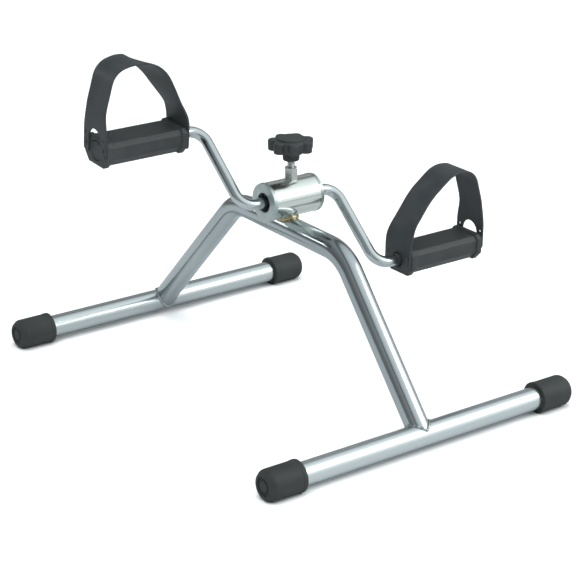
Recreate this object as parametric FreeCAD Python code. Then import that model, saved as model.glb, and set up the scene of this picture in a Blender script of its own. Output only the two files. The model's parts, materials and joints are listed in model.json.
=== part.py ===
import FreeCAD, Part
import math
import os

from FreeCAD import Vector

# Pedal exerciser, millimetres. +X runs along the foot bars and the crank, +Y to the rear bar,
# +Z up. The origin is on the floor, under the middle of the four rubber feet.

# ---- driving dimensions -------------------------------------------------------------------
tube_radius = 12.7            # 1 in round tube: foot bars and main beam
tube_wall = 1.5
weld_gap = 0.05               # welded faces stand this far apart

cap_radius = 17.6             # rubber foot caps, over their end bead
cap_length = 44.0
cap_end_wall = 6.0
bar_axis_z = 16.2             # lower than the cap's radius: leaves a flat under each cap
bar_y = 244.0                 # half the distance between the two bars
bar_end_x = 204.0             # outer face of the caps

beam_apex_y = 85.0            # where the rear leg's line meets the top run
beam_apex_z = 183.2
beam_shoulder_y = -109.3      # where the front leg's line meets the top run
beam_shoulder_z = 178.1
beam_bend = 51.0              # bend radius of the centre line
weld_on_leg = 2.8             # how far a weld bead reaches out from the leg
weld_on_bar = 2.4             # and up from the bar; unequal, as equal radii meet badly
bar_weld_gap = 0.02

hub_y = -11.5
hub_z = 214.9
hub_radius = 21.2             # 42.4 mm tube
hub_wall = 3.0
hub_half = 34.0               # half the hub's length over its end discs
disc_radius = 21.7
disc_thick = 4.0
disc_spigot = 2.0
disc_hole = 11.0
hub_bush_length = 10.0
hub_weld_radius = 10.5

rod_radius = 6.25             # one-piece crank rod
running_gap = 0.05            # radial clearance of a turning fit
crank_throw = 104.6
crank_angle = 41.1            # rear arm above the horizontal, in degrees
arm_x = 62.0                  # the arms' planes, each side of the middle
rod_bend = 17.5

sleeve_radius = 8.5           # friction sleeve on the shaft
sleeve_half = 11.0
shoe_gap = 0.3
shoe_top = 12.5               # above the shaft's axis
shoe_half_x = 9.0
shoe_half_y = 6.5
lining_thick = 1.5

screw_x = 3.3                 # the screw stands this far to the right of the hub's middle
screw_radius = 4.0            # M8
screw_tip_radius = 2.9
screw_tip_depth = 2.0
nut_flats = 13.0
nut_top_z = 249.0
knob_boss_z = 257.0           # underside of the knob's boss
knob_lobe_z = 268.0           # underside of the lobes
knob_top_z = 281.0            # top of the lobes
knob_boss_radius = 9.5
knob_core_radius = 19.5
knob_lobe_radius = 6.2
knob_lobe_count = 7
knob_radius = 25.5
knob_angle = 37.0             # direction of the first lobe, in degrees from +X
cover_radius = 15.5
cover_thick = 2.2

pedal_x = 93.4                # inner face of each pedal
pedal_length = 102.0
pedal_half_depth = 22.5
pedal_top = 14.1              # above the spindle's axis
pedal_bottom = -16.2
pedal_tilt = {-1: 5.0, 1: 1.0}    # front edge down, in degrees; the pedals turn freely
end_plate_thick = 7.0
tread_inset = 1.6             # the tread lies this far inside the end plates
bush_radius = 10.0
pedal_bush_length = 15.0
recess_radius = 12.0
recess_depth = 10.0
end_cap_thick = 2.5
spacer_radius = 7.25          # sleeve on the rod, against the pedal's inner end
spacer_length = 7.0

strap_thick = 2.4
strap_half_width = 21.5       # at its ends
strap_waist = 18.5            # half width over the foot
strap_foot = -4.0             # lower end of the strap's outer side, from the spindle's axis
strap_foot_inner = -11.0      # and of its inner side, which goes round the spindle
strap_eye_radius = 8.2        # round hole for the spindle and its spacer
strap_arch_radius = 12.0      # cut-out over the outer end of the spindle
strap_arch_rise = 12.5
button_u = 17.0
button_w = 5.0
button_radius = 2.4
spare_hole_w = 16.5


os.makedirs("parts", exist_ok=True)


# ---- helpers ------------------------------------------------------------------------------
def cylinder(radius, start, end):
    """A solid cylinder from one point to another."""
    along = end - start
    return Part.makeCylinder(radius, along.Length, start, along)


def ring_x(outer, inner, x0, x1, y, z):
    """A tube along X."""
    body = cylinder(outer, Vector(x0, y, z), Vector(x1, y, z))
    return body.cut(cylinder(inner, Vector(x0 - 1, y, z), Vector(x1 + 1, y, z)))


def box_between(low, high):
    return Part.makeBox(high.x - low.x, high.y - low.y, high.z - low.z, low)


def filleted_path(points, radii):
    """Straight runs joined by tangent arcs, one radius for each inner point."""
    edges = []
    start = points[0]
    for before, corner, after, radius in zip(points, points[1:], points[2:], radii):
        to_before = (before - corner).normalize()
        to_after = (after - corner).normalize()
        half_turn = to_before.getAngle(to_after) / 2
        tangent = radius / math.tan(half_turn)
        arc_start = corner + to_before * tangent
        arc_end = corner + to_after * tangent
        bisector = (to_before + to_after).normalize()
        arc_middle = corner + bisector * (radius / math.sin(half_turn) - radius)
        edges.append(Part.LineSegment(start, arc_start).toShape())
        edges.append(Part.Arc(arc_start, arc_middle, arc_end).toShape())
        start = arc_end
    edges.append(Part.LineSegment(start, points[-1]).toShape())
    return Part.Wire(edges)


def pipe(path, radius):
    """A round bar swept along a path."""
    first = path.Edges[0]
    origin = first.valueAt(first.FirstParameter)
    direction = first.tangentAt(first.FirstParameter)
    section = Part.Wire([Part.makeCircle(radius, origin, direction)])
    return path.makePipeShell([section], True, False)


def turned(profile, origin, direction_x=1):
    """Revolves (x, radius) points about the X axis, and puts the piece at origin."""
    points = [Vector(x, 0, r) for x, r in profile]
    face = Part.Face(Part.makePolygon(points + points[:1]))
    solid = face.revolve(Vector(0, 0, 0), Vector(1, 0, 0), 360)
    if direction_x < 0:
        solid = solid.mirror(Vector(0, 0, 0), Vector(1, 0, 0))
    return solid.translated(origin)


def prism_x(outline, x0, x1):
    """Extrudes a closed (y, z) outline along X."""
    points = [Vector(x0, y, z) for y, z in outline]
    face = Part.Face(Part.makePolygon(points + points[:1]))
    return face.extrude(Vector(x1 - x0, 0, 0))


def as_solid(shape):
    """The shape as one valid solid with outward faces."""
    solid = shape.Solids[0]
    if solid.Volume < 0:
        solid.reverse()
    return solid


def save(node, *shapes):
    """Writes one node's solids."""
    solids = [as_solid(shape) for shape in shapes]
    for solid in solids:
        if not solid.isValid():
            print("not valid:", node)
    shape = solids[0] if len(solids) == 1 else Part.makeCompound(solids)
    shape.exportStep("parts/" + node + ".step")
    print(node, len(solids), round(sum(solid.Volume for solid in solids) / 1000, 2), "cm3")


# ---- frame --------------------------------------------------------------------------------
bars = {"front": -bar_y, "rear": bar_y}
beam_axis = [Vector(0, bar_y, bar_axis_z),
             Vector(0, beam_apex_y, beam_apex_z),
             Vector(0, beam_shoulder_y, beam_shoulder_z),
             Vector(0, -bar_y, bar_axis_z)]


def bar_cylinder(y, radius):
    """A bar's whole cylinder, for fitting other pieces to it."""
    return cylinder(radius, Vector(-bar_end_x, y, bar_axis_z), Vector(bar_end_x, y, bar_axis_z))


def make_foot_bar(y):
    end = bar_end_x - cap_end_wall
    return ring_x(tube_radius, tube_radius - tube_wall, -end, end, y, bar_axis_z)


def make_main_beam():
    """Bent tube, coped over the two bars and open inside."""
    path = filleted_path(beam_axis, [beam_bend, beam_bend])
    beam = pipe(path, tube_radius).cut(pipe(path, tube_radius - tube_wall))
    for y in bars.values():
        beam = beam.cut(bar_cylinder(y, tube_radius + weld_gap))
    return beam


def make_bar_weld(foot, knee):
    """Collar of weld in the corner between a leg and its bar."""
    direction = (knee - foot).normalize()
    far_end = foot + direction * 45
    collar = cylinder(tube_radius + weld_on_leg, foot, far_end)
    collar = collar.common(bar_cylinder(foot.y, tube_radius + weld_on_bar))
    collar = collar.cut(cylinder(tube_radius + weld_gap, foot - direction * 45, far_end + direction * 5))
    return collar.cut(bar_cylinder(foot.y, tube_radius + bar_weld_gap))


def make_foot_cap(side, y):
    """Rubber cap: thick rounded nose with a ring groove, bead at the open end, flat underneath."""
    bore = tube_radius + weld_gap
    rim = cap_radius
    profile = [(0, bore), (0, rim - 1.2), (1.2, rim), (4, rim), (5, rim - 0.6),
               (cap_length - 5, rim - 0.6), (cap_length - 1.5, rim - 2.0), (cap_length, rim - 4.5),
               (cap_length, 10.0), (cap_length - 1.5, 9.0), (cap_length - 1.5, 6.0), (cap_length, 5.0),
               (cap_length, 0), (cap_length - cap_end_wall + weld_gap, 0),
               (cap_length - cap_end_wall + weld_gap, bore)]
    cap = turned(profile, Vector(side * (bar_end_x - cap_length), y, bar_axis_z), side)
    floor = box_between(Vector(-bar_end_x - 5, y - cap_radius - 5, -10),
                        Vector(bar_end_x + 5, y + cap_radius + 5, 0))
    return cap.cut(floor)


for end_name, bar_place in bars.items():
    save(end_name + "_foot_bar", make_foot_bar(bar_place))
    for side_name, side in (("left", -1), ("right", 1)):
        save("foot_cap_" + end_name + "_" + side_name, make_foot_cap(side, bar_place))
save("main_beam", make_main_beam())
save("rear_bar_weld", make_bar_weld(beam_axis[0], beam_axis[1]))
save("front_bar_weld", make_bar_weld(beam_axis[3], beam_axis[2]))


# ---- hub ----------------------------------------------------------------------------------
hub_centre = Vector(0, hub_y, hub_z)
screw_base = Vector(screw_x, hub_y, hub_z)
shell_inner = hub_radius - hub_wall


def make_hub_shell():
    """Hub tube with a hole on top for the tension screw."""
    end = hub_half - disc_thick - weld_gap
    shell = ring_x(hub_radius, shell_inner, -end, end, hub_y, hub_z)
    return shell.cut(cylinder(screw_radius + 0.6, screw_base, screw_base + Vector(0, 0, 30)))


def make_hub_disc(side):
    """Chamfered steel ring that closes one end of the hub."""
    spigot = shell_inner - 0.05
    profile = [(-disc_spigot, disc_hole), (-disc_spigot, spigot), (0, spigot), (0, disc_radius - 0.8),
               (0.8, disc_radius), (disc_thick - 0.8, disc_radius), (disc_thick, disc_radius - 0.8),
               (disc_thick, disc_hole)]
    return turned(profile, Vector(side * (hub_half - disc_thick), hub_y, hub_z), side)


def make_hub_bush(side):
    """Plastic bearing bush behind an end disc."""
    outer_end = hub_half - disc_thick - disc_spigot - 0.05
    x0, x1 = sorted((side * outer_end, side * (outer_end - hub_bush_length)))
    return ring_x(shell_inner - 0.05, rod_radius + running_gap, x0, x1, hub_y, hub_z)


def make_hub_weld():
    """Weld pad between the beam's top and the hub."""
    pad = Part.makeCylinder(hub_weld_radius, 16.0, Vector(0, hub_y, hub_z - hub_radius - 9))
    hub = cylinder(hub_radius + weld_gap, Vector(-60, hub_y, hub_z), Vector(60, hub_y, hub_z))
    slope = (beam_axis[1] - beam_axis[2]).normalize()
    beam_run = cylinder(tube_radius + weld_gap, beam_axis[2] - slope * 20, beam_axis[1] + slope * 20)
    return pad.cut(hub).cut(beam_run)


def make_tension_nut():
    """Hexagon nut welded to the hub; the tension screw runs in it."""
    corner = nut_flats / 2 / math.cos(math.pi / 6)
    outline = [screw_base + Vector(corner * math.cos(math.pi / 3 * k), corner * math.sin(math.pi / 3 * k), 0)
               for k in range(6)]
    nut = Part.Face(Part.makePolygon(outline + outline[:1])).extrude(Vector(0, 0, nut_top_z - hub_z))
    nut = nut.cut(cylinder(hub_radius + weld_gap, Vector(-60, hub_y, hub_z), Vector(60, hub_y, hub_z)))
    return nut.cut(cylinder(screw_radius + running_gap, screw_base, screw_base + Vector(0, 0, 60)))


save("hub_shell", make_hub_shell())
for side_name, side in (("left", -1), ("right", 1)):
    save("hub_end_disc_" + side_name, make_hub_disc(side))
    save("hub_bush_" + side_name, make_hub_bush(side))
weld_pieces = make_hub_weld().Solids
save("hub_weld", *weld_pieces)
save("tension_nut", make_tension_nut())


# ---- tension screw, knob and brake --------------------------------------------------------
def make_brake_shoe():
    """Block that the screw presses down; it is hollowed underneath for its lining."""
    lining_outer = sleeve_radius + shoe_gap + lining_thick
    block = box_between(screw_base + Vector(-shoe_half_x, -shoe_half_y, 0),
                        screw_base + Vector(shoe_half_x, shoe_half_y, shoe_top))
    half_length = Vector(shoe_half_x + 1, 0, 0)
    block = block.cut(cylinder(lining_outer + weld_gap, screw_base - half_length, screw_base + half_length))
    socket_floor = screw_base + Vector(0, 0, shoe_top - screw_tip_depth - 0.1)
    return block.cut(cylinder(screw_tip_radius + 0.1, socket_floor, socket_floor + Vector(0, 0, 10)))


def make_brake_lining():
    """Curved friction lining under the shoe."""
    inner = sleeve_radius + shoe_gap
    lining = ring_x(inner + lining_thick, inner, screw_x - shoe_half_x, screw_x + shoe_half_x, hub_y, hub_z)
    keep = box_between(screw_base + Vector(-shoe_half_x, -shoe_half_y, 0),
                       screw_base + Vector(shoe_half_x, shoe_half_y, shoe_top))
    return lining.common(keep)


def make_tension_screw():
    """M8 stud with a turned-down tip that stands in the shoe."""
    tip = screw_base + Vector(0, 0, shoe_top - screw_tip_depth)
    shoulder = screw_base + Vector(0, 0, shoe_top + 0.1)
    head = Vector(screw_x, hub_y, knob_top_z - 4)
    return cylinder(screw_tip_radius, tip, shoulder).fuse(cylinder(screw_radius, shoulder, head))


def knob_outline(z):
    """Round lobes on a round core, seen from above."""
    base = Vector(screw_x, hub_y, z)
    height = Vector(0, 0, knob_top_z - knob_lobe_z)
    solid = cylinder(knob_core_radius, base, base + height)
    for k in range(knob_lobe_count):
        angle = math.radians(knob_angle + 360 * k / knob_lobe_count)
        reach = knob_radius - knob_lobe_radius
        centre = base + Vector(reach * math.cos(angle), reach * math.sin(angle), 0)
        solid = solid.fuse(cylinder(knob_lobe_radius, centre, centre + height))
    return solid


def make_tension_knob():
    """Lobed hand knob with a boss below and a shallow seat on top for its cover."""
    top = Vector(screw_x, hub_y, knob_top_z)
    boss_foot = Vector(screw_x, hub_y, knob_boss_z)
    boss = cylinder(knob_boss_radius, boss_foot, Vector(screw_x, hub_y, knob_lobe_z + 1))
    knob = knob_outline(knob_lobe_z).fuse(boss)
    knob = knob.cut(cylinder(cover_radius + 0.1, top - Vector(0, 0, 1), top + Vector(0, 0, 5)))
    bore_start = Vector(screw_x, hub_y, knob_boss_z - 1)
    bore_end = Vector(screw_x, hub_y, knob_top_z - 4)
    return knob.cut(cylinder(screw_radius + 0.02, bore_start, bore_end)).removeSplitter()


def make_knob_cover():
    """Slightly domed disc in the knob's top."""
    profile = [(0, 0), (0, cover_radius), (cover_thick - 0.7, cover_radius),
               (cover_thick, cover_radius - 1.5), (cover_thick + 0.8, 0)]
    cover = turned(profile, Vector(0, 0, 0))
    cover.rotate(Vector(0, 0, 0), Vector(0, 1, 0), -90)
    return cover.translated(Vector(screw_x, hub_y, knob_top_z - 0.95))


save("brake_shoe", make_brake_shoe())
save("brake_lining", make_brake_lining())
save("tension_screw", make_tension_screw())
save("tension_knob", make_tension_knob())
save("knob_cover", make_knob_cover())


# ---- crank --------------------------------------------------------------------------------
rise = crank_throw * math.sin(math.radians(crank_angle))
reach_y = crank_throw * math.cos(math.radians(crank_angle))
pedal_axis = {-1: Vector(0, hub_y + reach_y, hub_z + rise), 1: Vector(0, hub_y - reach_y, hub_z - rise)}
spindle_end = pedal_x + pedal_length - 4.0


def at_x(point, x):
    return Vector(x, point.y, point.z)


def make_crank_rod():
    """One bent rod: left spindle, arm, shaft, arm, right spindle."""
    path = filleted_path([at_x(pedal_axis[-1], -spindle_end), at_x(pedal_axis[-1], -arm_x),
                          at_x(hub_centre, -arm_x), at_x(hub_centre, arm_x),
                          at_x(pedal_axis[1], arm_x), at_x(pedal_axis[1], spindle_end)], [rod_bend] * 4)
    return pipe(path, rod_radius)


save("crank_rod", make_crank_rod())
save("friction_sleeve", ring_x(sleeve_radius, rod_radius + 0.02, -sleeve_half, sleeve_half, hub_y, hub_z))


# ---- pedals -------------------------------------------------------------------------------
# Middle line of each strap: (outward from the pedal's inner face, above the spindle's axis). The
# straps are flexible, and the left one stands rounder than the right one.
strap_line = {-1: [(-1.3, strap_foot_inner), (-1.3, 26.0), (33.0, 80.5), (62.0, 97.5), (92.5, 90.5),
                   (103.3, 46.0), (103.3, strap_foot)],
              1: [(-1.3, strap_foot_inner), (-1.3, 30.0), (28.0, 69.0), (60.0, 92.5), (90.0, 90.0),
                  (103.3, 46.0), (103.3, strap_foot)]}
strap_radii = {-1: [44.0, 60.0, 36.0, 21.5, 80.0], 1: [50.0, 80.0, 32.0, 21.5, 80.0]}


def plate_outline(inset):
    """End view of a pedal: flat top with bevelled edges, deep belly with sloping lower corners."""
    d = pedal_half_depth - inset
    top = pedal_top - inset
    bottom = pedal_bottom + inset
    return [(-d + 4, top), (d - 4, top), (d, top - 5), (d, bottom + 9), (d - 8, bottom),
            (-d + 8, bottom), (-d, bottom + 9), (-d, top - 5)]


def pedal_cylinder(side, radius, from_inner, to_inner):
    """A cylinder on the pedal's axis, placed by distances from its inner face."""
    start = at_x(pedal_axis[side], side * (pedal_x + from_inner))
    end = at_x(pedal_axis[side], side * (pedal_x + to_inner))
    return cylinder(radius, start, end)


def pedal_ring(side, outer, inner, from_inner, to_inner):
    body = pedal_cylinder(side, outer, from_inner, to_inner)
    return body.cut(pedal_cylinder(side, inner, from_inner - 1, to_inner + 1))


def pedal_prism(side, outline, from_inner, to_inner):
    axis = pedal_axis[side]
    placed = [(axis.y + y, axis.z + z) for y, z in outline]
    return prism_x(placed, side * (pedal_x + from_inner), side * (pedal_x + to_inner))


def tilted(side, shape):
    """Turns a pedal piece about its spindle to its angle at rest."""
    turned_shape = shape.copy()
    turned_shape.rotate(pedal_axis[side], Vector(1, 0, 0), pedal_tilt[side])
    return turned_shape


def strap_pins(side, radius, w, from_inner, to_inner):
    """The pair of round pins at one height, in front of and behind the spindle."""
    pins = []
    for u in (-button_u, button_u):
        pin = pedal_cylinder(side, radius, from_inner, to_inner)
        pins.append(pin.translated(Vector(0, u, w)))
    return pins


def make_pedal_body(side):
    """Moulded tread with an end plate at each end, bored through for its bushes."""
    body = pedal_prism(side, plate_outline(tread_inset), 1, pedal_length - 1)
    body = body.fuse(pedal_prism(side, plate_outline(0), 0, end_plate_thick))
    body = body.fuse(pedal_prism(side, plate_outline(0), pedal_length - end_plate_thick, pedal_length))
    body = body.cut(pedal_cylinder(side, bush_radius + 0.02, -1, pedal_length + 1))
    body = body.cut(pedal_cylinder(side, recess_radius, pedal_length - recess_depth, pedal_length + 1))
    for start in (-1.0, pedal_length - 5.0):
        for hole in strap_pins(side, 1.5, button_w, start, start + 6.0):
            body = body.cut(hole)
    return body.removeSplitter()


def make_strap(side):
    """Moulded foot strap: a flat band in a loop over the tread. Its inner end has an eye for the
    spindle, and its outer end is arched over it."""
    axis = pedal_axis[side]
    points = [Vector(side * (pedal_x + x), axis.y, axis.z + z) for x, z in strap_line[side]]
    half = Vector(strap_thick / 2, 0, 0)
    across = Vector(0, strap_half_width, 0)
    corners = [points[0] - half - across, points[0] + half - across,
               points[0] + half + across, points[0] - half + across]
    section = Part.makePolygon(corners + corners[:1])
    strap = filleted_path(points, strap_radii[side]).makePipeShell([section], True, False)
    w, n = strap_half_width + 1, strap_waist
    sides = [(-w, -20), (w, -20), (w, 22), (n, 45), (n, 120), (-n, 120), (-n, 45), (-w, 22)]
    strap = strap.common(pedal_prism(side, sides, -20, pedal_length + 20))
    cut_from, cut_to = pedal_length - 6.0, pedal_length + 6.0
    arch = pedal_cylinder(side, strap_arch_radius, cut_from, cut_to)
    arch = arch.translated(Vector(0, 0, strap_arch_rise))
    x0, x1 = sorted((side * (pedal_x + cut_from), side * (pedal_x + cut_to)))
    between_legs = box_between(Vector(x0, axis.y - strap_arch_radius, axis.z + strap_foot - 5),
                               Vector(x1, axis.y + strap_arch_radius, axis.z + strap_arch_rise))
    strap = strap.cut(arch).cut(between_legs).cut(pedal_cylinder(side, strap_eye_radius, -6.0, 6.0))
    holes = strap_pins(side, 1.6, button_w, -6.0, 6.0)
    for height in (button_w, spare_hole_w):
        holes += strap_pins(side, 1.6, height, cut_from, cut_to)
    for hole in holes:
        strap = strap.cut(hole)
    return strap


def make_strap_buttons(side):
    """Four push-in buttons that hold the strap's ends to the end plates."""
    buttons = []
    for face, outward in ((0.0, -1), (pedal_length, 1)):
        head_in = face + outward * (strap_thick + 0.2)
        stem = strap_pins(side, 1.45, button_w, face - outward * 4.5, head_in)
        head = strap_pins(side, button_radius, button_w, head_in, head_in + outward * 1.4)
        buttons += [s.fuse(h).removeSplitter() for s, h in zip(stem, head)]
    return buttons


for side_name, side in (("left", -1), ("right", 1)):
    outer_face = pedal_length - recess_depth
    save("pedal_spacer_" + side_name,
         pedal_ring(side, spacer_radius, rod_radius + 0.02, -spacer_length - 0.3, -0.3))
    save("pedal_body_" + side_name, tilted(side, make_pedal_body(side)))
    save("pedal_bush_inner_" + side_name,
         pedal_ring(side, bush_radius, rod_radius + running_gap, 0.3, 0.3 + pedal_bush_length))
    save("pedal_bush_outer_" + side_name,
         pedal_ring(side, bush_radius, rod_radius + running_gap, outer_face - pedal_bush_length, outer_face))
    save("pedal_washer_" + side_name,
         pedal_ring(side, 9.5, rod_radius + 0.02, outer_face + 0.3, outer_face + 1.8))
    save("pedal_push_nut_" + side_name,
         pedal_ring(side, 8.5, rod_radius + 0.02, outer_face + 1.9, outer_face + 4.5))
    save("pedal_end_cap_" + side_name,
         pedal_cylinder(side, recess_radius - 0.05, pedal_length - end_cap_thick, pedal_length))
    save("pedal_strap_" + side_name, tilted(side, make_strap(side)))
    save("strap_buttons_" + side_name, *[tilted(side, b) for b in make_strap_buttons(side)])
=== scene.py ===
import json
import math

import bmesh
import bpy
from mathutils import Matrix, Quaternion, Vector, geometry, noise


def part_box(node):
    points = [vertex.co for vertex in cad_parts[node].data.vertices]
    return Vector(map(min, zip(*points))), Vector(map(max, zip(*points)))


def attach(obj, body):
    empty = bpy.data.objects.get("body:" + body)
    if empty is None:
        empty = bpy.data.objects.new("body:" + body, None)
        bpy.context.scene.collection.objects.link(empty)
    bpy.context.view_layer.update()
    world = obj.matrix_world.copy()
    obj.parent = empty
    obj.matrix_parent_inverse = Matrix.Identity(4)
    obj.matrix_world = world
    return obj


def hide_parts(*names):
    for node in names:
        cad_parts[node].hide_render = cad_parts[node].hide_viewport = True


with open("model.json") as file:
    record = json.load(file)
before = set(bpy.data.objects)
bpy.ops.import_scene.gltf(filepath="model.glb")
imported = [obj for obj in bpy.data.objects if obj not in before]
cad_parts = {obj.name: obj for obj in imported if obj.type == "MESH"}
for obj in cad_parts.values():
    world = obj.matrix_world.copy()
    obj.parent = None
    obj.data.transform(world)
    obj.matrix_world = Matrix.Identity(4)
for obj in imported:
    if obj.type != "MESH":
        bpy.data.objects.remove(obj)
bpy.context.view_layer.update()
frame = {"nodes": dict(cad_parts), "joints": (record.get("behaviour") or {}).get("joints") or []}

# Pedal exerciser: the looks of every piece, built around the CAD frame. Metres; mm is a thousandth.
mm = 0.001

# ---- places and sizes that come from the frame --------------------------------------------------
joint_at = {j["name"]: Vector(j["pos_m"]) for j in frame["joints"] if "pos_m" in j}
hub_centre = joint_at["crank_spin"]
pedal_axis = {-1: joint_at["left_pedal_spin"], 1: joint_at["right_pedal_spin"]}
side_names = {-1: "left", 1: "right"}
screw_low, screw_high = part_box("tension_screw")
screw_centre = Vector(((screw_low.x + screw_high.x) / 2, (screw_low.y + screw_high.y) / 2, 0))
bar_low, bar_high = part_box("front_foot_bar")
tube_radius = (bar_high.z - bar_low.z) / 2
bar_axis_z = (bar_high.z + bar_low.z) / 2
bar_y = -(bar_high.y + bar_low.y) / 2

# ---- sizes that the frame doesn't give ----------------------------------------------------------
tube_wall = 1.5 * mm
tube_segments = 128
surface_gap = 0.05 * mm
beam_apex = Vector((0, 85.0, 183.2)) * mm
beam_shoulder = Vector((0, -109.3, 178.1)) * mm
beam_bend = 51.0 * mm
bead_radius = 2.0 * mm
bead_segments = 16
screw_hole = 4.05 * mm
rod_radius = 6.25 * mm
arm_x = 62.0 * mm
rod_bend = 17.5 * mm
rod_segments = 96
pedal_x = 93.4 * mm
pedal_length = 102.0 * mm
pedal_half_depth = 22.5 * mm
pedal_top = 14.1 * mm
pedal_bottom = -16.2 * mm
pedal_tilt = {-1: math.radians(5.0), 1: math.radians(1.0)}
button_spread = 17 * mm
button_rise = 5 * mm
# Each strap's middle line in mm, as (outward from the pedal's inner face, above the spindle).
strap_line = {
    -1: [(-1.3, -11), (-1.3, 26), (33, 80.5), (62, 97.5), (92.5, 90.5), (103.3, 46), (103.3, -4)],
    1: [(-1.3, -11), (-1.3, 30), (28, 69), (60, 92.5), (90, 90), (103.3, 46), (103.3, -4)],
}
strap_radii = {-1: [44, 60, 36, 21.5, 80], 1: [50, 80, 32, 21.5, 80]}
strap_half_width = 21.5 * mm
strap_waist = 18.5 * mm
strap_thick = 2.4 * mm


# ---- mesh helpers -------------------------------------------------------------------------------
def corner_arc(before, corner, after, radius):
    """Centre of the arc that rounds a corner, and the directions from it to the arc's ends."""
    to_before = (before - corner).normalized()
    to_after = (after - corner).normalized()
    half = to_before.angle(to_after) / 2
    centre = corner + (to_before + to_after).normalized() * (radius / math.sin(half))
    reach = radius / math.tan(half)
    start = (corner + to_before * reach - centre).normalized()
    end = (corner + to_after * reach - centre).normalized()
    return centre, start, end


def rounded_path(points, radii, step):
    """Straight runs joined by tangent arcs, one radius for each inner point."""
    path = [points[0]]
    for before, corner, after, radius in zip(points, points[1:], points[2:], radii):
        centre, start, end = corner_arc(before, corner, after, radius)
        count = max(2, round(start.angle(end) / step))
        path += [centre + start.slerp(end, k / count) * radius for k in range(count + 1)]
    path.append(points[-1])
    return path


def rounded_loop(points, radius, steps):
    """A closed outline with every corner rounded; each corner gives the same count of points."""
    loop = []
    for k, corner in enumerate(points):
        after = points[(k + 1) % len(points)]
        centre, start, end = corner_arc(points[k - 1], corner, after, radius)
        loop += [centre + start.slerp(end, j / steps) * radius for j in range(steps + 1)]
    return loop


def basis(axis):
    """Two directions square to an axis."""
    axis = axis.normalized()
    helper = Vector((0, 0, 1)) if abs(axis.z) < 0.9 else Vector((1, 0, 0))
    first = axis.cross(helper).normalized()
    return first, axis.cross(first).normalized()


def circle_angles(count):
    return [2 * math.pi * k / count for k in range(count)]


def ring_at(centre, first, second, radius, segments):
    """A circle of points in the plane of two directions."""
    return [centre + (first * math.cos(a) + second * math.sin(a)) * radius
            for a in circle_angles(segments)]


def turned(profile, origin, axis, segments):
    """Rings of a turned piece; profile gives (along the axis, radius)."""
    first, second = basis(axis)
    return [ring_at(origin + axis * along, first, second, radius, segments)
            for along, radius in profile]


def swept(path, radius, segments):
    """Rings of a round bar along a path, carried without twist."""
    last = len(path) - 1
    tangents = [(path[min(k + 1, last)] - path[max(k - 1, 0)]).normalized()
                for k in range(len(path))]
    first, second = basis(tangents[0])
    before = tangents[0]
    rings = []
    for centre, tangent in zip(path, tangents):
        turn = before.rotation_difference(tangent)
        first, second, before = turn @ first, turn @ second, tangent
        rings.append(ring_at(centre, first, second, radius, segments))
    return rings


def straight_tube(centre, half, radius, wall, edge, parts, segments):
    """Rings of an open tube along X with chamfered rims; its run is cut into equal parts."""
    run = 2 * half - 2 * edge
    profile = [(-half, radius - edge), (-half + edge, radius)]
    profile += [(-half + edge + run * k / parts, radius) for k in range(1, parts + 1)]
    profile += [(half, radius - edge), (half, radius - wall), (-half, radius - wall)]
    return turned(profile, centre, Vector((1, 0, 0)), segments)


def skin(bm, rings, closed=False, caps=False):
    """Faces between neighbouring rings; closed joins the last ring to the first."""
    grid = [[bm.verts.new(point) for point in ring] for ring in rings]
    pairs = list(zip(grid, grid[1:]))
    if closed:
        pairs.append((grid[-1], grid[0]))
    for a, b in pairs:
        for k in range(len(a)):
            m = (k + 1) % len(a)
            bm.faces.new((a[k], a[m], b[m], b[k]))
    if caps:
        bm.faces.new(reversed(grid[0]))
        bm.faces.new(grid[-1])
    return bm


def tidied(bm):
    """Merges doubled points, drops empty faces and turns every face outwards."""
    bmesh.ops.remove_doubles(bm, verts=bm.verts, dist=2e-6)
    bmesh.ops.dissolve_degenerate(bm, edges=bm.edges, dist=1e-6)
    bmesh.ops.recalc_face_normals(bm, faces=bm.faces)
    return bm


def add_piece(name, bm, body, material, nodes, sharp=35, bevel=0.0):
    """Makes the object, and has it ride on its body in place of its CAD nodes."""
    mesh = bpy.data.meshes.new(name)
    tidied(bm).to_mesh(mesh)
    bm.free()
    mesh.shade_smooth()
    mesh.set_sharp_from_angle(angle=math.radians(sharp))
    mesh.materials.append(material)
    piece = bpy.data.objects.new(name, mesh)
    bpy.context.scene.collection.objects.link(piece)
    if bevel:
        rounding = piece.modifiers.new("edges", "BEVEL")
        rounding.width = bevel
        rounding.segments = 2
        rounding.limit_method = "ANGLE"
        rounding.angle_limit = math.radians(40)
        rounding.harden_normals = True
    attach(piece, body)
    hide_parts(*nodes)


# ---- materials ----------------------------------------------------------------------------------
def new_material(name, base, metallic, roughness, **extra):
    """A Principled material with its plain values set on the shader's own sockets."""
    material = bpy.data.materials.new(name)
    material.use_nodes = True
    shader = material.node_tree.nodes["Principled BSDF"]
    shader.inputs["Base Color"].default_value = (*base, 1)
    shader.inputs["Metallic"].default_value = metallic
    shader.inputs["Roughness"].default_value = roughness
    for socket, value in extra.items():
        shader.inputs[socket.replace("_", " ")].default_value = value
    return material


def place_texture(tree, kind, scale, stretch=(1, 1, 1), **settings):
    """A procedural texture in object coordinates."""
    coordinates = tree.nodes.new("ShaderNodeTexCoord")
    mapping = tree.nodes.new("ShaderNodeMapping")
    mapping.inputs["Scale"].default_value = stretch
    texture = tree.nodes.new(kind)
    texture.inputs["Scale"].default_value = scale
    for socket, value in settings.items():
        texture.inputs[socket.replace("_", " ")].default_value = value
    tree.links.new(coordinates.outputs["Object"], mapping.inputs["Vector"])
    tree.links.new(mapping.outputs["Vector"], texture.inputs["Vector"])
    return texture


# Most of a noise texture's values lie between these two.
noise_low, noise_high = 0.3, 0.7


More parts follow.
